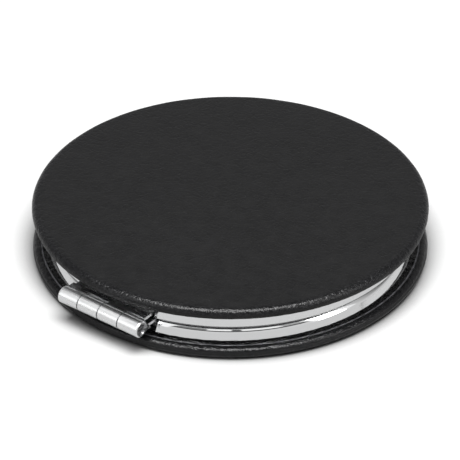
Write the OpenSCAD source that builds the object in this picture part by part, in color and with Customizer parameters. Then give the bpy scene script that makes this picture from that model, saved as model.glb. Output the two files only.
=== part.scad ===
// Round pocket compact mirror: two leather-wrapped covers, two chromed rims and a four-knuckle hinge.
// Lengths are in millimetres. The closed disc stands on z = 0 with its hinge on the +Y side.
// The upper half is the lower half's construction turned over, with a deeper rim for the magnifying glass.

/* [Covers] */
// Radius of both leather-wrapped covers
cover_r = 35; // [30:0.5:40]
// Thickness of the leather skin
leather_t = 0.5; // [0.3:0.05:0.7]
// Thickness of the stiff board inside each cover
board_t = 1.06; // [0.8:0.02:1.6]
// Radius of the shoulder round the outer face of the leather
edge_r = 1.1; // [0.9:0.05:1.3]
// Radius of the folded ridge round the inner face of the leather
fold_r = 0.35; // [0.2:0.05:0.45]
// Width of the leather that is turned in over the inner face
turn_in = 7.5; // [5:0.5:10]
// Gap between the turned-in leather and the paper infill
infill_gap = 0.3; // [0.1:0.05:0.5]

/* [Chrome rims] */
// Distance that the lower cover stands out past its rim
lower_overhang = 2.6; // [2.3:0.1:3.2]
// Distance that the upper cover stands out past its rim
upper_overhang = 2.6; // [2.2:0.1:3.2]
// Distance that the lower rim's wall leans in from its foot to its top
lower_lean = 1.05; // [0.8:0.05:1.2]
// Sheet thickness of the upright walls
wall_t = 0.4; // [0.3:0.05:0.5]
// Radius of the lower rim's rounded shoulder
lower_shoulder_r = 2; // [1.4:0.05:2.05]
// Radius of the upper rim's rounded shoulder
upper_shoulder_r = 0.45; // [0.4:0.01:0.8]
// Smallest radius inside a bend of the rims' sheet
inner_bend_r = 0.05; // [0.02:0.01:0.1]
// Thickness of the flat bezel over the mirror's edge
bezel_t = 0.4; // [0.3:0.05:0.5]
// Width of the lower bezel, from the foot of its wall in to the opening that both bezels share
bezel_w = 3.8; // [3.5:0.05:4.6]
// Gap between the two bezels when the compact is shut
rim_gap = 0.25; // [0.1:0.05:0.4]

/* [Mirrors] */
// Thickness of the plain glass in the lower half
mirror_t = 1; // [0.8:0.05:1.2]
// Edge thickness of the magnifying glass in the upper half
magnifier_t = 1.85; // [1.6:0.05:2.4]
// Radius of the magnifying glass's hollow face
magnifier_curve_r = 400; // [340:10:800]
// Width of the glass edge that is held under the bezel
glass_hold = 1.1; // [0.8:0.05:1.2]
// Play between the glass and the bezel
glass_play = 0.04; // [0.02:0.01:0.1]

/* [Back plates and pads] */
// Thickness of the tinplate back plate
plate_t = 0.35; // [0.25:0.05:0.5]
// Gap between the back plate's edge and the wall
plate_play = 0.1; // [0.05:0.05:0.3]
// Thickness of the foam pad behind the glass
pad_t = 0.7; // [0.65:0.05:1]
// Clearance round the hinge leaf in the pad's cut-out
pad_play = 0.3; // [0.1:0.1:0.6]

/* [Hinge] */
// Outer radius of the rolled knuckles
knuckle_r = 1.5; // [1.45:0.05:1.65]
// Thickness of the leaf's sheet
sheet_t = 0.5; // [0.4:0.05:0.5]
// Length of one knuckle
knuckle_len = 4.2; // [3.5:0.1:4.4]
// Gap between neighbouring knuckles
knuckle_gap = 0.22; // [0.15:0.01:0.3]
// Number of knuckles, shared in turn between the two leaves
knuckle_count = 4; // [2:1:4]
// Radius of the hinge pin
pin_r = 0.95; // [0.9:0.01:1]
// Clearance between the pin and the rolled knuckles
pin_play = 0.05; // [0.02:0.01:0.08]
// Radius of the rounding round each end of the barrel
end_round = 0.25; // [0.15:0.05:0.3]
// Depth of each pin end below the end knuckle's face
pin_recess = 0.15; // [0.05:0.05:0.3]
// Distance from the covers' edge out to the hinge axis
axis_out = 0.35; // [0.3:0.05:0.8]
// Angle at which a knuckle's roll ends, from level outward
roll_end = 200; // [190:1:203]
// Height between the hinge axis and the near face of each leaf
leaf_drop = 0.6; // [0.5:0.05:0.8]
// Distance from the knuckles to the edge of the other leaf
leaf_relief = 0.3; // [0.15:0.05:0.4]
// Distance that each side of the leaf stands in from the end of the barrel where it passes the rim
neck_inset = 0.8; // [0.6:0.1:1.2]
// Length of the leaf's foot inside the rim
foot_l = 6; // [5:0.5:7]
// Radius of the leaf's outer bends
bend_r = 0.45; // [0.3:0.05:0.5]
// Clearance between the leaf and the ends of the rim's notch
notch_play = 0.4; // [0.3:0.05:0.6]
// Clearance of the leaf's riser from the glass and from the notch
riser_play = 0.12; // [0.08:0.01:0.2]

/* [Rivets] */
// Radius of a rivet's shank
rivet_r = 0.8; // [0.6:0.05:1]
// Radius of a rivet's flat head
rivet_head_r = 1.4; // [1.2:0.05:1.6]
// Thickness of a rivet's flat head
rivet_head_t = 0.18; // [0.1:0.01:0.18]
// Distance between the two rivets of one leaf
rivet_spacing = 11; // [8:0.5:12]
// Radius of the flared end in the back plate
rivet_flare_r = 1.1; // [1.05:0.05:1.2]

/* [Closing magnet] */
// Width of the magnet across the upper rim
magnet_w = 1.3; // [1:0.1:1.4]
// Thickness of the magnet
magnet_t = 0.9; // [0.6:0.1:1.2]
// Length of the magnet round the rim, in degrees
magnet_angle = 12; // [8:1:20]
// Gap between the magnet and the rim's inner corner
magnet_play = 0.05; // [0.02:0.01:0.1]

/* [Hidden] */
$fn = 160;
// Overrun of every cutting shape past the face that it cuts
overrun = 1;
// Rings that the hollow glass face is turned in
hollow_steps = 12;

// Covers, measured up from the outer face of a half
cover_t = leather_t + board_t + leather_t;
board_r = cover_r - leather_t;
turn_in_r = cover_r - turn_in;
infill_r = turn_in_r - infill_gap;

// Rims
lower_r = cover_r - lower_overhang;
upper_r = cover_r - upper_overhang;
upper_in_r = upper_r - wall_t;
opening_r = lower_r - bezel_w;
lip_r = bezel_t / 2;

// Stack of each half above its cover
plate_top = cover_t + plate_t;
pad_top = plate_top + pad_t;
lower_h = pad_top + mirror_t + glass_play + bezel_t;
upper_h = pad_top + magnifier_t + glass_play + bezel_t;
closed_h = lower_h + rim_gap + upper_h;
glass_r = opening_r + glass_hold;

// Hinge, with the axis half way up the closed disc so that it opens flat
axis_y = cover_r + axis_out;
axis_z = closed_h / 2;
bore_r = pin_r + pin_play;
pitch = knuckle_len + knuckle_gap;
barrel_l = knuckle_count * pitch - knuckle_gap;
leaf_z1 = axis_z - leaf_drop;
leaf_z0 = leaf_z1 - sheet_t;
riser_y0 = glass_r + 2 * riser_play;
riser_y1 = riser_y0 + sheet_t;
leaf_y1 = axis_y - sqrt((knuckle_r + leaf_relief) * (knuckle_r + leaf_relief) - leaf_drop * leaf_drop);
foot_y0 = riser_y1 - foot_l;
foot_top = plate_top + sheet_t;
neck_w = barrel_l - 2 * neck_inset;
notch_w = neck_w + 2 * notch_play;
wing_y = upper_r + notch_play;
notch_y = riser_y0 - riser_play;
rivet_y = foot_y0 + (foot_l - sheet_t) / 2;

// Turns a piece made in the lower half's place over into the upper half's place
module turned_over() {
    translate([0, 0, closed_h]) mirror([0, 0, 1]) children();
}

// Half section of a disc with one rounding radius at its foot and another at its top
module disc_section(r, h, foot_round, top_round) {
    widest = max(foot_round, top_round);
    square([r - widest, h]);
    translate([0, foot_round]) square([r, h - foot_round - top_round]);
    square([r - foot_round, h / 2]);
    translate([0, h / 2]) square([r - top_round, h / 2]);
    translate([r - foot_round, foot_round]) circle(foot_round);
    translate([r - top_round, h - top_round]) circle(top_round);
}

// Leather skin: outer face, rounded edge, folded ridge and the turned-in margin
module cover_skin() {
    rotate_extrude()
        difference() {
            disc_section(cover_r, cover_t, edge_r, fold_r);
            translate([0, leather_t]) board_section();
            translate([0, cover_t / 2]) square([turn_in_r, cover_t]);
        }
}

module board_section() {
    disc_section(board_r, board_t, edge_r - leather_t, fold_r / 2);
}

// Stiff board that the leather is wrapped round
module board_disc() {
    translate([0, 0, leather_t]) rotate_extrude() board_section();
}

// Paper disc that levels the ground inside the turned-in leather
module infill_disc() {
    translate([0, 0, leather_t + board_t]) cylinder(r = infill_r, h = leather_t);
}

// Waste outside a rounded corner that stands at the origin with its stock in the +X +Y quarter
module corner_waste(r) {
    difference() {
        translate([-overrun, -overrun]) square(r + overrun);
        translate([r, r]) circle(r);
    }
}

// Waste outside a rounded shoulder under the level top, where the wall leans in by the given angle
module shoulder_waste(foot_r, top, lean_angle, r) {
    reach = 3 * r;
    centre = [foot_r - (r + (top - r) * sin(lean_angle)) / cos(lean_angle), top - r];
    translate(centre)
        difference() {
            polygon([[0, 0], reach * [cos(lean_angle), sin(lean_angle)], [reach, reach], [0, reach]]);
            circle(r);
        }
}

// Half section of a stamped rim: wall, rounded shoulder and bezel with a rounded lip
module rim_section(foot_r, h, lean, shoulder_r) {
    lean_angle = atan(lean / h);
    in_h = h - bezel_t;
    in_foot_r = foot_r - wall_t;
    difference() {
        polygon([[opening_r + lip_r, 0], [foot_r, 0], [foot_r - lean, h], [opening_r + lip_r, h]]);
        shoulder_waste(foot_r, h, lean_angle, shoulder_r);
        difference() {
            polygon([[0, -overrun], [in_foot_r + lean * overrun / h, -overrun],
                [in_foot_r - lean * in_h / h, in_h], [0, in_h]]);
            shoulder_waste(in_foot_r, in_h, lean_angle, max(shoulder_r - wall_t, inner_bend_r));
        }
    }
    translate([opening_r + lip_r, h - lip_r]) circle(lip_r);
}

// Stamped rim of one half, with its notch for the hinge
module rim(foot_r, half_h, lean, shoulder_r) {
    rim_h = half_h - cover_t;
    translate([0, 0, cover_t])
        difference() {
            rotate_extrude() rim_section(foot_r, rim_h, lean, shoulder_r);
            translate([-notch_w / 2, notch_y, -overrun])
                cube([notch_w, cover_r, rim_h + 2 * overrun]);
        }
}

// Places one knuckle's share of the barrel along the hinge, counted from the +X end
module at_knuckle(i) {
    translate([barrel_l / 2 - knuckle_len - i * pitch, 0, 0]) children();
}

// Stands a section drawn in Y and Z up and gives it a length along X
module along_x(l) {
    rotate([90, 0, 90]) linear_extrude(l) children();
}

// Bent section of the leaf: foot on the back plate, riser, and the flat that runs out through the notch
module leaf_section() {
    difference() {
        union() {
            translate([foot_y0, plate_top]) square([foot_l, sheet_t]);
            translate([riser_y0, plate_top]) square([sheet_t, leaf_z1 - plate_top]);
            translate([riser_y0, leaf_z0]) square([leaf_y1 - riser_y0, sheet_t]);
        }
        translate([riser_y1, plate_top]) rotate(90) corner_waste(bend_r);
        translate([riser_y0, leaf_z1]) rotate(-90) corner_waste(bend_r);
    }
}

// Rolled section of a knuckle and the strip before it: under the pin, out, over the top and back to the leaf
module knuckle_section() {
    reach = 2 * knuckle_r;
    meeting_angle = 180 + asin((leaf_drop + sheet_t / 2) / (bore_r / 2 + knuckle_r / 2));
    difference() {
        union() {
            translate([wing_y, leaf_z0]) square([axis_y - wing_y, sheet_t]);
            translate([axis_y, axis_z])
                difference() {
                    circle(knuckle_r);
                    polygon([[0, 0], reach * [cos(roll_end), sin(roll_end)],
                        reach * [cos(meeting_angle), sin(meeting_angle)]]);
                }
        }
        translate([axis_y, axis_z]) circle(bore_r);
    }
}

// Waste past the rounded end of the barrel that stands at the origin with its stock towards +X
module end_waste() {
    reach = axis_y - wing_y + overrun;
    rotate([0, 90, 0])
        rotate_extrude()
            difference() {
                translate([knuckle_r - end_round, -overrun]) square([reach, end_round + overrun]);
                translate([knuckle_r - end_round, end_round]) circle(end_round);
            }
}

// One hinge leaf with every second knuckle, starting at the given one
module leaf(first) {
    difference() {
        union() {
            translate([-neck_w / 2, 0, 0]) along_x(neck_w) leaf_section();
            for (i = [first : 2 : knuckle_count - 1])
                at_knuckle(i) along_x(knuckle_len) knuckle_section();
        }
        for (side = [0, 1])
            mirror([side, 0, 0]) translate([-barrel_l / 2, axis_y, axis_z]) end_waste();
        for (side = [-1, 1])
            translate([side * rivet_spacing / 2, rivet_y, 0]) cylinder(r = rivet_r, h = closed_h);
    }
}

// Section of the hole and of the rivet's shank in the back plate, flared at the outer face
module flare_section() {
    polygon([[0, cover_t], [rivet_flare_r, cover_t], [rivet_r, plate_top], [0, plate_top]]);
}

// Tinplate disc that closes a half from behind and carries the hinge leaf
module back_plate(r) {
    difference() {
        translate([0, 0, cover_t]) cylinder(r = r, h = plate_t);
        translate([-notch_w / 2, notch_y, 0]) cube([notch_w, cover_r, closed_h]);
        for (side = [-1, 1])
            translate([side * rivet_spacing / 2, rivet_y, 0]) rotate_extrude() flare_section();
    }
}

// The two flat-headed rivets of one leaf
module rivet_pair() {
    for (side = [-1, 1])
        translate([side * rivet_spacing / 2, rivet_y, 0])
            rotate_extrude() {
                flare_section();
                translate([0, plate_top]) square([rivet_r, sheet_t]);
                translate([0, foot_top]) square([rivet_head_r, rivet_head_t]);
            }
}

// Foam pad behind the glass, cut out round the leaf's foot
module foam_pad() {
    cut_w = neck_w + 2 * pad_play;
    difference() {
        translate([0, 0, plate_top]) cylinder(r = glass_r, h = pad_t);
        translate([-cut_w / 2, foot_y0 - pad_play, 0]) cube([cut_w, cover_r, closed_h]);
    }
}

// Plain glass of the lower half
module plain_glass() {
    translate([0, 0, pad_top]) cylinder(r = glass_r, h = mirror_t);
}

// Depth of the magnifying glass's hollow face at a distance x from its middle
function hollow_depth(x) = sqrt(magnifier_curve_r * magnifier_curve_r - x * x)
    - sqrt(magnifier_curve_r * magnifier_curve_r - opening_r * opening_r);

// Magnifying glass: flat behind, hollowed in front to the edge of the bezel's opening
module hollow_glass() {
    face = [for (i = [0 : hollow_steps]) let (x = opening_r * i / hollow_steps) [x, magnifier_t - hollow_depth(x)]];
    translate([0, 0, pad_top])
        rotate_extrude() polygon(concat([[0, 0]], face, [[glass_r, magnifier_t], [glass_r, 0]]));
}

// Radius of a back plate that fits inside a rim's wall
function plate_r(foot_r, half_h, lean) = foot_r - wall_t - lean * plate_t / (half_h - cover_t) - plate_play;

module lower_cover() { color([0.13, 0.13, 0.13]) cover_skin(); }
module lower_board() { color([0.62, 0.58, 0.5]) board_disc(); }
module lower_infill() { color([0.85, 0.83, 0.78]) infill_disc(); }
module lower_plate() { color([0.68, 0.69, 0.7]) back_plate(plate_r(lower_r, lower_h, lower_lean)); }
module lower_pad() { color([0.93, 0.93, 0.91]) foam_pad(); }
module lower_frame() {
    color([0.83, 0.84, 0.85]) rim(lower_r, lower_h, lower_lean, lower_shoulder_r);
}
module lower_mirror() { color([0.75, 0.82, 0.86]) plain_glass(); }
module lower_leaf() { color([0.8, 0.81, 0.82]) leaf(1); }
module lower_rivets() { color([0.7, 0.71, 0.72]) rivet_pair(); }

// Steel pin that both leaves turn on
module hinge_pin() {
    color([0.6, 0.61, 0.62])
        translate([pin_recess - barrel_l / 2, axis_y, axis_z])
            rotate([0, 90, 0]) cylinder(r = pin_r, h = barrel_l - 2 * pin_recess);
}

module upper_cover() { color([0.16, 0.16, 0.16]) turned_over() cover_skin(); }
module upper_board() { color([0.62, 0.58, 0.5]) turned_over() board_disc(); }
module upper_infill() { color([0.85, 0.83, 0.78]) turned_over() infill_disc(); }
module upper_plate() { color([0.68, 0.69, 0.7]) turned_over() back_plate(plate_r(upper_r, upper_h, 0)); }
module upper_pad() { color([0.93, 0.93, 0.91]) turned_over() foam_pad(); }
module upper_frame() {
    color([0.85, 0.86, 0.87]) turned_over() rim(upper_r, upper_h, 0, upper_shoulder_r);
}
module upper_mirror() { color([0.72, 0.8, 0.85]) turned_over() hollow_glass(); }
module upper_leaf() { color([0.78, 0.79, 0.8]) turned_over() leaf(0); }
module upper_rivets() { color([0.7, 0.71, 0.72]) turned_over() rivet_pair(); }

// Curved bar magnet under the upper bezel, opposite the hinge, which pulls on the lower rim
module closing_magnet() {
    corner_r = upper_in_r - max(upper_shoulder_r - wall_t, inner_bend_r);
    color([0.4, 0.4, 0.42])
        turned_over()
            translate([0, 0, upper_h - bezel_t - magnet_t])
                rotate([0, 0, -90 - magnet_angle / 2])
                    rotate_extrude(angle = magnet_angle)
                        translate([corner_r - magnet_play - magnet_w, 0]) square([magnet_w, magnet_t]);
}

lower_cover();
lower_board();
lower_infill();
lower_plate();
lower_pad();
lower_frame();
lower_mirror();
lower_leaf();
lower_rivets();
hinge_pin();
upper_cover();
upper_board();
upper_infill();
upper_plate();
upper_pad();
upper_frame();
upper_mirror();
upper_leaf();
upper_rivets();
closing_magnet();
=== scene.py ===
# Round leather compact mirror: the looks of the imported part
import math
import random
import bmesh
import bpy
import numpy as np
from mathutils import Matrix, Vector
from mathutils.geometry import delaunay_2d_cdt


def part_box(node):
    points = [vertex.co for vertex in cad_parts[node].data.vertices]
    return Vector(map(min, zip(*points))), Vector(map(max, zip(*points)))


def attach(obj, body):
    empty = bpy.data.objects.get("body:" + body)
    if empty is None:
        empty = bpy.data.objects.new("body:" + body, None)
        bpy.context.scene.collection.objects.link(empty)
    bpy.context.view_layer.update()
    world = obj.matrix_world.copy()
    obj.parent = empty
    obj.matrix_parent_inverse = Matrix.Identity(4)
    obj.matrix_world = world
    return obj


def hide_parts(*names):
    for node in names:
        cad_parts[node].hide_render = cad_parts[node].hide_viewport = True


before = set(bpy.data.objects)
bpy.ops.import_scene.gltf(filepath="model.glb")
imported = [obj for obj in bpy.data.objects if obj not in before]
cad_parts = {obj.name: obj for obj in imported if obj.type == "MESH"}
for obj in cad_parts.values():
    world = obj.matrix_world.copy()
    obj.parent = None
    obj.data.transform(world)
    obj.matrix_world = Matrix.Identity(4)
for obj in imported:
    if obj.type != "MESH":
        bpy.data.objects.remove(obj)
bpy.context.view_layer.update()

MM = 0.001
BODIES = {"lower": "base", "upper": "lid"}

# Sizes in millimetres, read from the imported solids
COVER_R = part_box("lower_cover")[1].x / MM
COVER_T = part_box("lower_cover")[1].z / MM
CLOSED_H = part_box("upper_cover")[1].z / MM
LEATHER_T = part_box("lower_board")[0].z / MM
RIM_FOOT_R = {half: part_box(half + "_frame")[1].x / MM for half in BODIES}
GLASS_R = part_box("upper_mirror")[1].x / MM
GLASS_FACE_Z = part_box("upper_mirror")[0].z / MM
GLASS_BACK_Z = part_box("upper_mirror")[1].z / MM
PIN_END_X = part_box("hinge_pin")[1].x / MM

# Camera of the photograph: its distance, height and direction, the scale at the part, and the origin's pixel
FRAME_PX = 460
CAM_DISTANCE_MM = 620
CAM_ELEVATION = 33.64
CAM_AZIMUTH = 218.2
PX_PER_MM = 5.622
ORIGIN_PX = (230.33, 245.54)
SENSOR_MM = 36


def direction(azimuth, elevation):
    """Unit vector from the part towards an azimuth and elevation in degrees, as the views count them."""
    a = math.radians(azimuth)
    e = math.radians(elevation)
    return Vector((math.sin(a) * math.cos(e), -math.cos(a) * math.cos(e), math.sin(e)))


def camera():
    """The camera looks along the fitted direction, moved sideways so that the origin falls on its pixel."""
    data = bpy.data.cameras.new("camera")
    data.sensor_width = SENSOR_MM
    data.lens = PX_PER_MM * CAM_DISTANCE_MM * SENSOR_MM / FRAME_PX
    data.clip_start = 0.01
    data.clip_end = 20
    ob = bpy.data.objects.new("camera", data)
    bpy.context.scene.collection.objects.link(ob)
    back = direction(CAM_AZIMUTH, CAM_ELEVATION)
    ob.rotation_mode = "QUATERNION"
    ob.rotation_quaternion = back.to_track_quat("Z", "Y")
    right = ob.rotation_quaternion @ Vector((1, 0, 0))
    up = ob.rotation_quaternion @ Vector((0, 1, 0))
    dx = (FRAME_PX / 2 - ORIGIN_PX[0]) / PX_PER_MM * MM
    dy = (ORIGIN_PX[1] - FRAME_PX / 2) / PX_PER_MM * MM
    ob.location = back * CAM_DISTANCE_MM * MM + right * dx + up * dy
    bpy.context.scene.camera = ob


class Graph:
    """Short calls for the nodes of one material or world."""

    def __init__(self, tree):
        self.tree = tree
        tree.nodes.clear()

    def node(self, kind, **attributes):
        made = self.tree.nodes.new(kind)
        for key, value in attributes.items():
            setattr(made, key, value)
        return made

    def put(self, socket, value):
        """Links a socket to another, or gives it a number or a colour."""
        if hasattr(value, "is_output"):
            self.tree.links.new(value, socket)
        elif isinstance(value, (tuple, list)) and len(value) == 3 and socket.type == "RGBA":
            socket.default_value = (*value, 1)
        else:
            socket.default_value = value

    def maths(self, op, *values):
        n = self.node("ShaderNodeMath", operation=op)
        for i, v in enumerate(values):
            self.put(n.inputs[i], v)
        return n.outputs[0]

    def weighted(self, base, *terms):
        """A base value plus each term's value times its weight."""
        total = base
        for value, weight in terms:
            total = self.maths("MULTIPLY_ADD", value, weight, total)
        return total

    def along(self, vector, axis):
        """How far a vector reaches along a fixed unit vector."""
        n = self.node("ShaderNodeVectorMath", operation="DOT_PRODUCT")
        self.put(n.inputs[0], vector)
        n.inputs[1].default_value = axis
        return n.outputs["Value"]

    def span(self, value, a, b, low=0.0, high=1.0, smooth=False):
        """Maps value from a..b to low..high and stops there."""
        n = self.node("ShaderNodeMapRange", interpolation_type="SMOOTHSTEP" if smooth else "LINEAR")
        for i, v in enumerate((value, a, b, low, high)):
            self.put(n.inputs[i], v)
        return n.outputs[0]

    def mix(self, factor, a, b):
        n = self.node("ShaderNodeMix", data_type="RGBA")
        self.put(n.inputs["Factor"], factor)
        self.put(n.inputs["A"], a)
        self.put(n.inputs["B"], b)
        return n.outputs["Result"]


class Finish(Graph):
    """A material under one Principled shader. Sizes are in millimetres on the object."""

    def __init__(self, name, **values):
        self.mat = bpy.data.materials.new(name)
        self.mat.use_nodes = True
        super().__init__(self.mat.node_tree)
        self.shader = self.node("ShaderNodeBsdfPrincipled")
        out = self.node("ShaderNodeOutputMaterial")
        self.put(out.inputs["Surface"], self.shader.outputs[0])
        for key, value in values.items():
            self.put(self.shader.inputs[key.replace("_", " ")], value)
        self.place = self.node("ShaderNodeTexCoord").outputs["Object"]

    def stretched(self, x, y, z):
        """The place on the object with each axis scaled, so that a texture runs long along a small one."""
        n = self.node("ShaderNodeMapping")
        self.put(n.inputs["Vector"], self.place)
        n.inputs["Scale"].default_value = (x, y, z)
        return n.outputs[0]

    def round_the_axis(self, across):
        """Place as distance round, distance out and height, for marks that run round the part."""
        split = self.node("ShaderNodeSeparateXYZ")
        self.put(split.inputs[0], self.place)
        x, y, z = split.outputs
        join = self.node("ShaderNodeCombineXYZ")
        radius = self.maths("SQRT", self.maths("MULTIPLY_ADD", x, x, self.maths("MULTIPLY", y, y)))
        angle = self.maths("ARCTAN2", y, x)
        self.put(join.inputs[0], self.maths("MULTIPLY", angle, COVER_R * MM))
        self.put(join.inputs[1], self.maths("MULTIPLY", radius, across))
        self.put(join.inputs[2], self.maths("MULTIPLY", z, across))
        return join.outputs[0]

    def noise(self, size, detail=3.0, vector=None):
        n = self.node("ShaderNodeTexNoise")
        self.put(n.inputs["Vector"], vector or self.place)
        n.inputs["Scale"].default_value = 1 / (size * MM)
        n.inputs["Detail"].default_value = detail
        n.inputs["Roughness"].default_value = NOISE_ROUGHNESS
        return n.outputs["Fac"]

    def cells(self, size, feature="F1"):
        n = self.node("ShaderNodeTexVoronoi", feature=feature)
        self.put(n.inputs["Vector"], self.place)
        n.inputs["Scale"].default_value = 1 / (size * MM)
        return n.outputs["Distance"]

    def painted(self, name):
        """A value from 0 to 1 that is stored on the mesh's points."""
        return self.node("ShaderNodeAttribute", attribute_name=name).outputs["Fac"]

    def colour(self, factor, dark, light):
        self.put(self.shader.inputs["Base Color"], self.mix(factor, dark, light))

    def roughness(self, value):
        self.put(self.shader.inputs["Roughness"], value)

    def bump(self, height, depth, strength=1.0):
        n = self.node("ShaderNodeBump")
        n.inputs["Distance"].default_value = depth * MM
        self.put(n.inputs["Strength"], strength)
        self.put(n.inputs["Height"], height)
        self.put(self.shader.inputs["Normal"], n.outputs["Normal"])


# Colours: leather as dyed, and as rubbed with a painted sheen, from dark to light, then darkened where it is
# turned in as painted shade, and at its cut edge lightened with a painted glint
LEATHER_DYE = ((0.0022, 0.0022, 0.0024), (0.0046, 0.0046, 0.0048))
LEATHER_WORN_AND_SHEEN = ((0.002, 0.002, 0.0022), (0.008, 0.008, 0.0088))
LEATHER_TURNED_IN_SHADE = (0.001, 0.001, 0.0011)
LEATHER_CUT_EDGE_AND_GLINT = (0.085, 0.085, 0.092)
CHROME = (0.84, 0.845, 0.85)
SILVER = ((0.86, 0.885, 0.885), (0.9, 0.92, 0.92))
FOAM_WHITE = (0.86, 0.86, 0.83)
FOAM_PORE_SHADE = (0.62, 0.62, 0.6)
# Roughness of every noise pattern, and the specular level of leather, board, paper and foam
NOISE_ROUGHNESS = 0.55
LOW_GLOSS = 0.2


def darker(colour, share):
    """A colour at a share of its brightness."""
    return [c * share for c in colour]


def leather():
    """Black coated leather: fine pebbles, rubbed smooth on the shoulder and lighter there as a painted
    sheen, and glossy where it is turned in, darkened there as painted shade, with a painted glint along the
    crease's cut edge.
    """
    m = Finish("black_leather", Specular_IOR_Level=LOW_GLOSS)
    fine = m.noise(0.32, 2)
    mottle = m.noise(2.4)
    rubbed = m.painted("rubbed")
    glossy = m.painted("glossy")
    pebbles = m.cells(0.75, "SMOOTH_F1")
    creases = m.span(m.cells(1.5, "DISTANCE_TO_EDGE"), 0, 0.12)
    wrinkles = m.maths("MULTIPLY", glossy, m.noise(0.7, 2))
    clean = m.mix(m.weighted(0, (m.noise(11), 0.5), (mottle, 0.5)), *LEATHER_DYE)
    # Painted sheen: rubbed places, the shoulder and bead crown most, get a lighter speckled colour for their
    # highlight, on top of real wear.
    worn_and_sheen = m.mix(m.span(fine, 0.35, 0.75), *LEATHER_WORN_AND_SHEEN)
    # Painted shade: the turned-in margin and crease get a darker colour for the shade under the upper cover
    # and beside the rim.
    whole = m.mix(glossy, m.mix(rubbed, clean, worn_and_sheen), LEATHER_TURNED_IN_SHADE)
    # Painted glint: the crease step's cut edge gets a pale grey for the glint along it, besides its own
    # paler colour.
    m.colour(m.painted("cut_edge_and_glint"), whole, LEATHER_CUT_EDGE_AND_GLINT)
    satin = m.span(fine, 0.3, 0.7, 0.32, 0.38)
    dull = m.span(mottle, 0.3, 0.7, 0, 0.14)
    m.roughness(m.weighted(satin, (dull, 1), (rubbed, -0.18), (glossy, -0.32)))
    height = m.weighted(0, (pebbles, 0.6), (fine, 0.8), (creases, 0.3), (wrinkles, 2.6))
    m.bump(height, 0.09, m.weighted(0.85, (rubbed, 0.2), (glossy, -0.15)))
    return m.mat


def chrome(name, low, high, vector_of):
    """Bright plating with faint polishing lines."""
    m = Finish(name, Metallic=1.0)
    lines = m.noise(0.9, vector=vector_of(m))
    m.colour(m.noise(5), darker(CHROME, 0.97), CHROME)
    m.roughness(m.span(lines, 0.3, 0.7, low, high))
    m.bump(lines, 0.002, 0.4)
    return m.mat


def metal(name, colour, low, high, size):
    """Plain sheet or bar metal with a mottled, lightly scratched surface."""
    m = Finish(name, Metallic=1.0)
    mottle = m.noise(size, 4)
    scratches = m.noise(0.4, vector=m.stretched(1, 0.06, 1))
    m.colour(mottle, darker(colour, 0.82), colour)
    m.roughness(m.span(scratches, 0.3, 0.7, low, high))
    m.bump(m.maths("ADD", mottle, scratches), 0.008, 0.4)
    return m.mat


def fibrous(name, dark, light, size, depth):
    """Matt board or paper."""
    m = Finish(name, Specular_IOR_Level=LOW_GLOSS)
    fibres = m.noise(size, 5)
    m.colour(m.span(fibres, 0.3, 0.7), dark, light)
    m.roughness(m.span(fibres, 0.3, 0.7, 0.8, 0.95))
    m.bump(fibres, depth, 0.6)
    return m.mat


def foam():
    """White open foam with round cells, coloured darker in the low places between them as painted shade."""
    m = Finish("white_foam", Specular_IOR_Level=LOW_GLOSS)
    pores = m.cells(0.35)
    # Painted shade: the low places between cells are coloured darker.
    m.colour(m.span(pores, 0, 0.5), FOAM_WHITE, FOAM_PORE_SHADE)
    m.roughness(m.span(pores, 0, 0.6, 0.95, 0.85))
    m.bump(m.maths("SUBTRACT", 1.0, pores), 0.15, 0.8)
    return m.mat


def silvered_glass():
    """Mirror glass with the faintest haze and a slight cool tint."""
    m = Finish("silvered_glass", Metallic=1.0)
    haze = m.noise(8, 4)
    m.colour(haze, *SILVER)
    m.roughness(m.span(haze, 0.45, 0.75, 0.0, 0.025))
    return m.mat


# Floor: half its width in metres, and its levels for the camera, for chrome and for other light
FLOOR_HALF = 6.0
FLOOR_SEEN = 0.405
FLOOR_IN_CHROME = 0.245
FLOOR_IN_LIGHT = 0.8
# The camera's floor gains from the first of these distances in metres to the second, to stay white far off
FAR_FLOOR = (0.15, 0.9)
FAR_GAIN = 9.0
# Contact shadow: its reach in millimetres and its depth, where it is least and most, and its long direction
CONTACT_REACH = (4.4, 7.0)
CONTACT_DEPTH = (0.45, 1.4)
CONTACT_AZIMUTH = CAM_AZIMUTH + 60
# On the camera's right the shadow is weaker: these are sines of the direction, and the share that is left
LIT_SIDE = (0.87, 1.0)
LIT_SIDE_SHARE = 0.45


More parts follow.
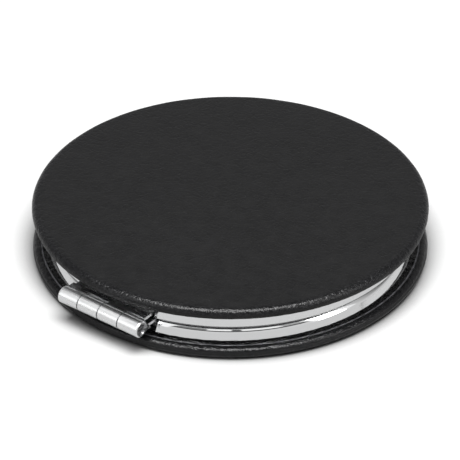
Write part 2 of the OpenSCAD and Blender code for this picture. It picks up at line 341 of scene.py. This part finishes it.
def floor():
    """A white floor. The camera sees it overexposed, as the photograph does, with a soft contact shadow."""
    mesh = bpy.data.meshes.new("floor")
    corners = [(x * FLOOR_HALF, y * FLOOR_HALF, 0) for x, y in ((-1, -1), (1, -1), (1, 1), (-1, 1))]
    mesh.from_pydata(corners, [], [(0, 1, 2, 3)])
    ob = bpy.data.objects.new("floor", mesh)
    bpy.context.scene.collection.objects.link(ob)
    mat = bpy.data.materials.new("floor")
    mat.use_nodes = True
    g = Graph(mat.node_tree)
    path = g.node("ShaderNodeLightPath")
    place = g.node("ShaderNodeTexCoord").outputs["Object"]
    away = g.node("ShaderNodeVectorMath", operation="NORMALIZE")
    g.put(away.inputs[0], place)
    ahead = g.maths("ABSOLUTE", g.along(away.outputs[0], direction(CONTACT_AZIMUTH, 0)))
    right = g.along(away.outputs[0], direction(CAM_AZIMUTH + 90, 0))
    turned = g.maths("MULTIPLY", ahead, g.span(right, *LIT_SIDE, 1, LIT_SIDE_SHARE))
    near = g.node("ShaderNodeAmbientOcclusion", samples=8)
    g.put(near.inputs["Distance"], g.span(turned, 0, 1, CONTACT_REACH[0] * MM, CONTACT_REACH[1] * MM))
    contact = g.maths("POWER", near.outputs["AO"], g.span(turned, 0, 1, *CONTACT_DEPTH))
    distance = g.node("ShaderNodeVectorMath", operation="LENGTH")
    g.put(distance.inputs[0], place)
    gain = g.span(distance.outputs["Value"], *FAR_FLOOR, 1, FAR_GAIN)
    to_camera = g.maths("MULTIPLY", g.maths("MULTIPLY", contact, gain), FLOOR_SEEN)
    to_others = g.span(path.outputs["Is Glossy Ray"], 0, 1, FLOOR_IN_LIGHT, FLOOR_IN_CHROME)
    level = g.span(path.outputs["Is Camera Ray"], 0, 1, to_others, to_camera)
    paint = g.node("ShaderNodeBsdfDiffuse")
    g.put(paint.inputs["Color"], g.mix(level, (0, 0, 0), (1, 1, 1)))
    out = g.node("ShaderNodeOutputMaterial")
    g.put(out.inputs["Surface"], paint.outputs[0])
    mesh.materials.append(mat)


# Tent: its levels towards the camera, behind the part and at the horizon, and how sharply they change
FRONT_LEVEL = 0.9
BACK_LEVEL = 0.2
HORIZON_LEVEL = 0.84
FRONT_TURN = 0.35
HORIZON_FADE = (0.05, 0.35)
# Panels of the tent: start and end round from the camera's direction, low and high edge, and level,
# with angles in degrees. A later panel covers an earlier one.
PANELS = ((110, 185, 12, 44, 0.5), (-185, -110, 12, 44, 0.5),
          (-78, -37, 13, 60, 1.4), (50, 80, 13, 60, 1.2),
          (-68, -48, 12, 46, 3.5), (54, 72, 12, 46, 8.0),
          (-37, 50, 37, 52, 1.3), (-37, -16, 37, 52, 0.28), (1, 7.5, 37, 52, 0.15), (35, 50, 37, 52, 0.5),
          (-37, 50, 28, 37, 0.1), (-37, 50, 52, 62, 0.03))
PANEL_BLUR = 1.6


def studio():
    """A white tent, bright towards the camera and dim behind the part, with brighter and darker panels."""
    world = bpy.data.worlds.new("studio")
    bpy.context.scene.world = world
    world.use_nodes = True
    g = Graph(world.node_tree)
    ray = g.node("ShaderNodeTexCoord").outputs["Generated"]

    def inside(value, start, end):
        rise = g.span(value, start - PANEL_BLUR / 2, start + PANEL_BLUR / 2, smooth=True)
        fall = g.span(value, end - PANEL_BLUR / 2, end + PANEL_BLUR / 2, 1, 0, smooth=True)
        return g.maths("MULTIPLY", rise, fall)

    def covered(below, above, share):
        """One level over another, where share says how much the upper one covers."""
        return g.maths("ADD", g.maths("MULTIPLY", below, g.maths("SUBTRACT", 1.0, share)),
                       g.maths("MULTIPLY", share, above))

    front = g.along(ray, direction(CAM_AZIMUTH, 0))
    right = g.along(ray, direction(CAM_AZIMUTH + 90, 0))
    up = g.along(ray, (0, 0, 1))
    azimuth = g.maths("DEGREES", g.maths("ARCTAN2", right, front))
    elevation = g.maths("DEGREES", g.maths("ARCSINE", up))
    level = g.span(front, -FRONT_TURN, FRONT_TURN, BACK_LEVEL, FRONT_LEVEL, smooth=True)
    near_horizon = g.span(g.maths("ABSOLUTE", up), *HORIZON_FADE, 1, 0, smooth=True)
    level = covered(level, HORIZON_LEVEL, near_horizon)
    for start, end, low, high, panel_level in PANELS:
        share = g.maths("MULTIPLY", inside(azimuth, start, end), inside(elevation, low, high))
        level = covered(level, panel_level, share)
    seen = g.node("ShaderNodeLightPath").outputs["Is Camera Ray"]
    tent = g.node("ShaderNodeBackground")
    g.put(tent.inputs["Strength"], covered(level, 1.0, seen))
    out = g.node("ShaderNodeOutputWorld")
    g.put(out.inputs["Surface"], tent.outputs[0])


def lamp(name, azimuth, elevation, distance, size, watts):
    """A soft panel, wide and tall as given, that faces the part. Its azimuth starts at the camera's."""
    data = bpy.data.lights.new(name, "AREA")
    data.shape = "RECTANGLE"
    data.size, data.size_y = size
    data.energy = watts
    ob = bpy.data.objects.new(name, data)
    bpy.context.scene.collection.objects.link(ob)
    ob.location = direction(CAM_AZIMUTH + azimuth, elevation) * distance
    ob.rotation_mode = "QUATERNION"
    ob.rotation_quaternion = ob.location.to_track_quat("Z", "Y")


def finish_node(name, material):
    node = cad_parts[name]
    node.data.materials.clear()
    node.data.materials.append(material)


def arc(centre, radii, start, end, steps):
    """Points along an elliptic arc, in radius and height."""
    angles = np.radians(np.linspace(start, end, steps + 1))
    return [(centre[0] + radii[0] * math.cos(a), centre[1] + radii[1] * math.sin(a)) for a in angles]


def full_turn(steps):
    return np.linspace(0, 2 * math.pi, steps, endpoint=False)


def placed(name, mesh, material, body, node):
    """A mesh as a smooth piece with its material, on its body and in its solid's stead."""
    mesh.polygons.foreach_set("use_smooth", [True] * len(mesh.polygons))
    ob = bpy.data.objects.new(name, mesh)
    bpy.context.scene.collection.objects.link(ob)
    mesh.materials.append(material)
    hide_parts(node)
    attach(ob, body)
    return ob


def revolved(name, rings, material, body, node, turned=False):
    """A closed skin through rings of points, with a pole at each end on the axis."""
    n = len(rings[0])
    verts = np.vstack(rings + [[(0, 0, rings[0][0][2])], [(0, 0, rings[-1][0][2])]])
    first, last = len(verts) - 2, len(verts) - 1
    k = np.arange(n)
    k2 = (k + 1) % n
    faces = []
    for i in range(len(rings) - 1):
        a, b = i * n, (i + 1) * n
        faces += np.stack([a + k, a + k2, b + k2, b + k], 1).tolist()
    faces += np.stack([np.full(n, first), k2, k], 1).tolist()
    end = (len(rings) - 1) * n
    faces += np.stack([np.full(n, last), end + k, end + k2], 1).tolist()
    if not turned:
        faces = [f[::-1] for f in faces]
    mesh = bpy.data.meshes.new(name)
    mesh.from_pydata(verts.tolist(), [], faces)
    mesh.update()
    return placed(name, mesh, material, body, node)


# Stamped rims in millimetres: sheet, bends, the lean and shoulder of each half, and the hinge notch
RIM_STEPS = 720
RIM_BEND_STEPS = 24
RIM_FLAT_STEPS = 5
RIM_LIP_STEPS = 10
RIM_WALL = 0.4
RIM_BEZEL = 0.4
RIM_INNER_BEND = 0.05
RIM_OPENING_R = GLASS_R - 1.1
RIM_LEAN = {"lower": 1.05, "upper": 0.0}
RIM_SHOULDER = {"lower": 2.0, "upper": 0.45}
RIM_CREASE_DEG = 40
NOTCH_HALF_W = PIN_END_X - 0.25
NOTCH_Y = GLASS_R + 0.12
NOTCH_CORNER_R = math.hypot(NOTCH_Y, NOTCH_HALF_W)


def rim_section(half, height):
    """Outer and inner half of a rim's section, each as radius and height above the cover."""
    foot_r = RIM_FOOT_R[half]
    shoulder = RIM_SHOULDER[half]
    inner_bend = max(shoulder - RIM_WALL, RIM_INNER_BEND)
    tilt = math.atan(RIM_LEAN[half] / height)
    lip = RIM_BEZEL / 2
    sides = []
    for r, h, bend in ((foot_r, height, shoulder), (foot_r - RIM_WALL, height - RIM_BEZEL, inner_bend)):
        centre = (r - (bend + (h - bend) * math.sin(tilt)) / math.cos(tilt), h - bend)
        bent = arc(centre, (bend, bend), math.degrees(tilt), 90, RIM_BEND_STEPS)
        wall = [(r + (bent[0][0] - r) * t, bent[0][1] * t) for t in np.linspace(0, 0.96, RIM_FLAT_STEPS)]
        flat = [(x, h) for x in np.linspace(centre[0], RIM_OPENING_R + lip, RIM_FLAT_STEPS)[1:]]
        sides.append(wall + bent + flat)
    sides[0] += arc((RIM_OPENING_R + lip, height - lip), (lip, lip), 90, 270, RIM_LIP_STEPS)[1:-1]
    return sides


def crossing(rows, r):
    """Adds the point where a row of points first passes a radius, and returns its place in the row."""
    for i in range(len(rows) - 1):
        (ra, za), (rb, zb) = rows[i], rows[i + 1]
        if (ra - r) * (rb - r) < 0:
            t = (r - ra) / (rb - ra)
            rows.insert(i + 1, (r, za + (zb - za) * t))
            return i + 1
    return None


def notch_angle(r):
    """Half the angle that the square notch takes out of a ring at a radius."""
    if r <= NOTCH_Y:
        return 0
    if r <= NOTCH_CORNER_R:
        return math.acos(NOTCH_Y / r)
    return math.asin(NOTCH_HALF_W / r)


def rim(half, material):
    """A stamped rim as one smooth turned shape, cut square at the hinge notch."""
    low, high = (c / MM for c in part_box(half + "_frame"))
    outer, inner = rim_section(half, high.z - low.z)
    fold = [crossing(rows, NOTCH_CORNER_R) for rows in (outer, inner)]
    edge = [crossing(rows, NOTCH_Y) for rows in (outer, inner)]
    rows = outer + inner[::-1]
    fold[1] = len(rows) - 1 - fold[1]
    edge[1] = len(rows) - 1 - edge[1]
    ring = RIM_STEPS + 1
    verts = []
    for r, z in rows:
        start = notch_angle(r)
        sweep = np.linspace(start, 2 * math.pi - start, ring)
        height = high.z - z if half == "upper" else low.z + z
        verts.append(np.stack([r * np.sin(sweep), r * np.cos(sweep), np.full(ring, height)], 1) * MM)
    faces = []
    k = np.arange(RIM_STEPS)
    for i in range(len(rows)):
        a, b = i * ring, (i + 1) % len(rows) * ring
        faces += np.stack([a + k, a + k + 1, b + k + 1, b + k], 1).tolist()
    wall = list(range(fold[0] + 1)) + list(range(fold[1], len(rows)))
    bezel = list(range(fold[0], edge[0] + 1)) + list(range(edge[1], fold[1] + 1))
    for end in (0, RIM_STEPS):
        faces += [[i * ring + end for i in part] for part in (wall, bezel)]
    name = half + "_chrome_rim"
    mesh = bpy.data.meshes.new(name)
    mesh.from_pydata(np.vstack(verts).tolist(), [], faces)
    work = bmesh.new()
    work.from_mesh(mesh)
    bmesh.ops.remove_doubles(work, verts=work.verts, dist=1e-7)
    bmesh.ops.recalc_face_normals(work, faces=work.faces)
    work.to_mesh(mesh)
    work.free()
    placed(name, mesh, material, BODIES[half], half + "_frame")
    mesh.set_sharp_from_angle(angle=math.radians(RIM_CREASE_DEG))


# Leather section in millimetres, from the middle of the outer face round to the turned-in margin: the domed
# face, its shoulder, the drawn-in side, the bead, the crease with its step, and the swell at the rim's foot
SKIN_STEPS = 1080
POLE_R = 1.2
EDGE_R = 1.1
DOME_START_R = 27.0
DOME_DROP = 0.08
WAIST = 0.05
BEAD_R = 33.78
BEAD_HALF_W = COVER_R - BEAD_R - 0.1
BEAD_HALF_H = 0.78
CREASE_R = 33.58
CREASE_W = 0.14
CREASE_DEPTH = 0.27
STEP_W = 0.14
STEP_H = 0.19
MARGIN_SWELL = 0.13
MARGIN_SWELL_W = 0.45
MARGIN_END_R = 27.5
INNER_PLAY = 0.04
# Waves round the skin: the fewest and most bumps in a turn, and how many waves are added up
SKIN_WAVES = {"swell": (3, 9, 5), "wander": (9, 30, 7), "pucker": (60, 130, 12),
              "fine_pucker": (120, 260, 14), "tuck": (25, 70, 9)}
RIPPLE_PEAK = 1.6
# How far the skin sags and draws in, in millimetres, apart from its waves
FACE_SAG = 0.02
SHOULDER_DRAW = 0.01
SIDE_DRAW = 0.012
BEAD_SAG = 0.02
CREASE_SAG = 0.03
MARGIN_SAG = 0.04
# Wear: the share of the waves that the flat middle keeps, and how wide and how much the edges are rubbed,
# where a painted sheen also lightens them
MIDDLE_SHARE = 0.3
FACE_RUB_W = 0.35
FACE_RUB = 0.7
SHOULDER_RUB = 4
BEAD_RUB = 2
BEAD_GLOSS = 0.15


def ripple(theta, draw, low, high, count):
    """A wandering line round the part: waves of whole counts with drawn phases, from about -1 to 1."""
    total = np.zeros_like(theta)
    for _ in range(count):
        waves = draw.randint(low, high)
        total += math.sqrt(2 / count) * np.cos(waves * theta + draw.uniform(0, 2 * math.pi))
    return total / RIPPLE_PEAK


def dome(r):
    """How far the outer face has fallen away at a radius."""
    t = np.clip((r - DOME_START_R) / (COVER_R - EDGE_R - DOME_START_R), 0, 1)
    return DOME_DROP * t * t


def skin_profile():
    """Radius, height and a name for the region of each ring of the leather's section."""
    edge = (COVER_R - EDGE_R, EDGE_R + DOME_DROP)
    bead = (BEAD_R, COVER_T - BEAD_HALF_H)
    hidden_r = RIM_FOOT_R["upper"]
    inner_z = COVER_T - LEATHER_T + INNER_PLAY
    rows = [(r, dome(r), "face") for r in np.linspace(POLE_R, edge[0], 40)]
    rows += [(r, z, "shoulder") for r, z in arc(edge, (EDGE_R, EDGE_R), -86, -2, 16)]
    rows += [(COVER_R - WAIST, z, "side") for z in (edge[1] + 0.01, bead[1] - 0.03)]
    rows += [(r, z, "bead") for r, z in arc(bead, (BEAD_HALF_W, BEAD_HALF_H), 0, 93, 16)]
    rows += [(CREASE_R + CREASE_W, COVER_T - CREASE_DEPTH, "crease")]
    rows += [(CREASE_R, COVER_T - STEP_H, "crease"), (CREASE_R - STEP_W, COVER_T, "crease")]
    rows += [(r, COVER_T, "margin") for r in np.linspace(CREASE_R - STEP_W - 0.05, hidden_r, 8)]
    rows += [(r, COVER_T - 0.02, "under") for r in np.linspace(hidden_r - 0.5, MARGIN_END_R, 8)]
    rows += [(MARGIN_END_R, inner_z, "inner")]
    rows += [(r, inner_z, "inner") for r in np.linspace(MARGIN_END_R + 1.5, COVER_R - 1.3, 5)]
    rows += [(COVER_R - LEATHER_T - 0.15, COVER_T / 2, "inner")]
    rows += [(r, LEATHER_T + dome(r) * 0.5, "inner") for r in np.linspace(edge[0] - 0.4, POLE_R, 10)]
    return rows


def strayed(r, z, region, foot_r, stray):
    """How far a ring strays outwards and upwards, and how rubbed (with a painted sheen), glossy (with
    painted shade) and cut (with a painted glint) it is.
    """
    if region == "face":
        reach = (r / COVER_R) ** 2
        share = 1 if r > DOME_START_R else MIDDLE_SHARE
        up = reach * stray(swell=0.018, wander=0.006) * share + FACE_SAG * reach
        return 0, up, max(0, 1 + (r - COVER_R + EDGE_R) / FACE_RUB_W) * FACE_RUB, 0, 0
    if region == "shoulder":
        rise = 1 - (z - DOME_DROP) / EDGE_R
        out = -SHOULDER_DRAW - stray(wander=0.01, fine_pucker=0.006)
        up = rise * (FACE_SAG + stray(swell=0.022, wander=0.008))
        return out, up, min(1.0, SHOULDER_RUB * rise) * (0.9 + stray(wander=0.1)), 0, 0
    if region == "side":
        return -SIDE_DRAW - stray(swell=0.012), 0, 0, 0, 0
    if region == "bead":
        rise = (z - COVER_T + BEAD_HALF_H) / BEAD_HALF_H
        out = -SIDE_DRAW - (1 - rise) * stray(swell=0.01) - stray(pucker=0.008)
        up = -rise * (BEAD_SAG + stray(wander=0.02, pucker=0.012))
        return out, up, min(1.0, BEAD_RUB * rise), BEAD_GLOSS * rise, 0
    if region == "crease":
        # The cut share marks the crease step that gets a painted glint.
        cut = 0.7 + stray(pucker=0.3) if z > COVER_T - CREASE_DEPTH else 0
        return stray(wander=0.03), -CREASE_SAG - stray(tuck=0.01), 0, 1, cut
    if region == "margin":
        inwards = (CREASE_R - r) / (CREASE_R - RIM_FOOT_R["upper"])
        puckers = stray(pucker=0.02, fine_pucker=0.01) * (0.4 + 0.6 * inwards)
        swell = MARGIN_SWELL * min(1.0, max(0.0, 1 - (r - foot_r) / MARGIN_SWELL_W))
        # The margin's full gloss share also darkens it as painted shade.
        return 0, swell * (0.85 + stray(tuck=0.15)) - MARGIN_SAG - stray(tuck=0.03) - puckers, 0, 1, 0
    return 0, 0, 0, 0, 0


def skin(half, material, seed):
    """One cover's leather as a closed revolved skin with its folds, and the shares on its points for
    rubbing, gloss and cut edge, which also place a painted sheen, painted shade and a painted glint.
    """
    draw = random.Random(seed)
    theta = full_turn(SKIN_STEPS)
    waves = {wave: ripple(theta, draw, *counts) for wave, counts in SKIN_WAVES.items()}

    def stray(**amounts):
        """The named waves added up, each times its amount."""
        return sum(amount * waves[wave] for wave, amount in amounts.items())

    upper = half == "upper"
    rings = []
    looks = {"rubbed": [], "glossy": [], "cut_edge_and_glint": []}
    for r, z, region in skin_profile():
        out, up, *shares = strayed(r, z, region, RIM_FOOT_R[half], stray)
        rr = np.full(SKIN_STEPS, float(r)) + out
        zz = np.full(SKIN_STEPS, float(z)) + up
        if upper:
            zz = CLOSED_H - zz
        rings.append(np.stack([rr * np.cos(theta), rr * np.sin(theta), zz], 1) * MM)
        for rows, share in zip(looks.values(), shares):
            rows.append(np.zeros(SKIN_STEPS) + share)
    ob = revolved(half + "_cover_skin", rings, material, BODIES[half], half + "_cover", turned=upper)
    for key, rows in looks.items():
        values = np.clip(np.concatenate(rows + [[0, 0]]), 0, 1).astype(np.float32)
        ob.data.attributes.new(key, "FLOAT", "POINT").data.foreach_set("value", values)


# Magnifying glass in millimetres: the hollow's radius of curvature, and the ground edge
GLASS_STEPS = 360
HOLLOW_CURVE_R = 400.0
GROUND_EDGE = 0.15


def hollow_mirror(material):
    """The magnifying glass, with its hollow face as one smooth curve and a ground edge."""
    theta = full_turn(GLASS_STEPS)
    face_r = RIM_OPENING_R
    ground_r = GLASS_R - GROUND_EDGE
    edge_depth = math.sqrt(HOLLOW_CURVE_R ** 2 - face_r ** 2)

    def hollow(r):
        return math.sqrt(HOLLOW_CURVE_R ** 2 - min(r, face_r) ** 2) - edge_depth

    rows = [(r, GLASS_FACE_Z + hollow(r)) for r in np.linspace(0.8, face_r, 48)]
    rows += [(ground_r, GLASS_FACE_Z), (GLASS_R, GLASS_FACE_Z + GROUND_EDGE)]
    rows += [(GLASS_R, GLASS_BACK_Z - GROUND_EDGE), (ground_r, GLASS_BACK_Z)]
    rows += [(r, GLASS_BACK_Z) for r in (GLASS_R - 3, 2)]
    rings = []
    for r, z in rows:
        rings.append(np.stack([r * np.cos(theta), r * np.sin(theta), np.full(GLASS_STEPS, z)], 1) * MM)
    ob = revolved("magnifying_mirror", rings, material, "lid", "upper_mirror")


# Foam discs in millimetres: play to the pad's own outline and to the leaf, mesh step, and rounded edge
FOAM_PLAY = 0.05
FOAM_FACE_PLAY = 0.02
FOAM_LEAF_PLAY = (0.3, 0.35)
FOAM_STEP = 1.2
FOAM_KEEP_OFF = 0.5
FOAM_ROUND_W = 0.5
FOAM_ROUND_SHARE = 0.6


def foam_points(half, radius):
    """A pad's points from above: its outline, round with a square cut at the leaf, and a grid inside."""
    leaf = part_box(half + "_leaf")
    cut_x = min(-leaf[0].x, leaf[1].x) / MM + FOAM_LEAF_PLAY[0]
    cut_y = leaf[0].y / MM - FOAM_LEAF_PLAY[1]
    corner = math.asin(cut_x / radius)
    sweep = np.linspace(math.pi / 2 + corner, math.pi * 2.5 - corner, 200)
    outline = [(radius * math.cos(a), radius * math.sin(a)) for a in sweep]
    outline += [(cut_x, y) for y in np.linspace(outline[-1][1] - 0.6, cut_y, 6)]
    outline += [(x, cut_y) for x in np.linspace(cut_x - 1, -cut_x + 1, 18)]
    outline += [(-cut_x, y) for y in np.linspace(cut_y, outline[0][1] - 0.6, 6)]
    grid = np.arange(-radius, radius, FOAM_STEP)
    inner = []
    for x in grid:
        for y in grid:
            in_cut = abs(x) < cut_x + FOAM_KEEP_OFF and y > cut_y - FOAM_KEEP_OFF
            if math.hypot(x, y) < radius - FOAM_KEEP_OFF and not in_cut:
                inner.append((x, y))
    return outline, inner


def foam_disc(half, material):
    """The foam pad behind a glass: the CAD pad's outline with a crown and soft edges."""
    low, high = (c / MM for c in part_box(half + "_pad"))
    outline, inner = foam_points(half, high.x - FOAM_PLAY)
    count = len(outline)
    loop = [(i, (i + 1) % count) for i in range(count)]
    flat = delaunay_2d_cdt([Vector(p) for p in outline + inner], loop, [], 2, 1e-6)
    points = np.array([tuple(v) for v in flat[0]])
    gap = np.sqrt(((points[:, None, :] - np.array(outline)[None, :, :]) ** 2).sum(2)).min(1)
    middle = (low.z + high.z) / 2
    half_t = (high.z - low.z) / 2 - FOAM_FACE_PLAY
    rounding = np.sqrt(np.clip(1 - (1 - np.clip(gap / FOAM_ROUND_W, 0, 1)) ** 2, 0, 1))
    bulge = half_t * rounding * FOAM_ROUND_SHARE + half_t * (1 - FOAM_ROUND_SHARE)
    m = len(points)
    verts = [(x * MM, y * MM, (middle + b) * MM) for (x, y), b in zip(points, bulge)]
    verts += [(x * MM, y * MM, (middle - b) * MM) for (x, y), b in zip(points, bulge)]
    faces = [tuple(f) for f in flat[2]] + [tuple(i + m for i in reversed(f)) for f in flat[2]]
    sides = dict.fromkeys((i, j) for f in flat[2] for i, j in zip(f, list(f[1:]) + [f[0]]))
    faces += [(j, i, i + m, j + m) for i, j in sides if (j, i) not in sides]
    name = half + "_foam_disc"
    mesh = bpy.data.meshes.new(name)
    mesh.from_pydata(verts, [], faces)
    mesh.update()
    ob = placed(name, mesh, material, BODIES[half], half + "_pad")


bpy.context.scene.view_settings.view_transform = "Standard"
camera()
floor()
studio()
lamp("key_panel", azimuth=-2, elevation=78, distance=1.0, size=(0.8, 0.48), watts=26.0)

LEATHER = leather()
CHROME_RIM = chrome("chromed_rim", 0.03, 0.07, lambda m: m.round_the_axis(6))
CHROME_HINGE = chrome("chromed_hinge", 0.24, 0.32, lambda m: m.stretched(0.12, 1, 1))
TINPLATE = metal("tinplate", (0.6, 0.61, 0.62), 0.3, 0.45, 1.2)
STEEL = metal("plain_steel", (0.55, 0.55, 0.56), 0.2, 0.35, 0.5)
MAGNET = metal("plated_magnet", (0.4, 0.4, 0.41), 0.25, 0.4, 0.6)
BOARD = fibrous("grey_board", (0.33, 0.29, 0.23), (0.46, 0.41, 0.34), 0.5, 0.05)
PAPER = fibrous("infill_paper", (0.7, 0.68, 0.62), (0.8, 0.78, 0.72), 0.4, 0.03)
GLASS = silvered_glass()
FOAM = foam()

for half in BODIES:
    finish_node(half + "_board", BOARD)
    finish_node(half + "_infill", PAPER)
    finish_node(half + "_plate", TINPLATE)
    finish_node(half + "_leaf", CHROME_HINGE)
    finish_node(half + "_rivets", STEEL)
finish_node("hinge_pin", STEEL)
finish_node("closing_magnet", MAGNET)
finish_node("lower_mirror", GLASS)

for half in BODIES:
    rim(half, CHROME_RIM)
skin("lower", LEATHER, seed=3)
skin("upper", LEATHER, seed=7)
hollow_mirror(GLASS)
for half in BODIES:
    foam_disc(half, FOAM)
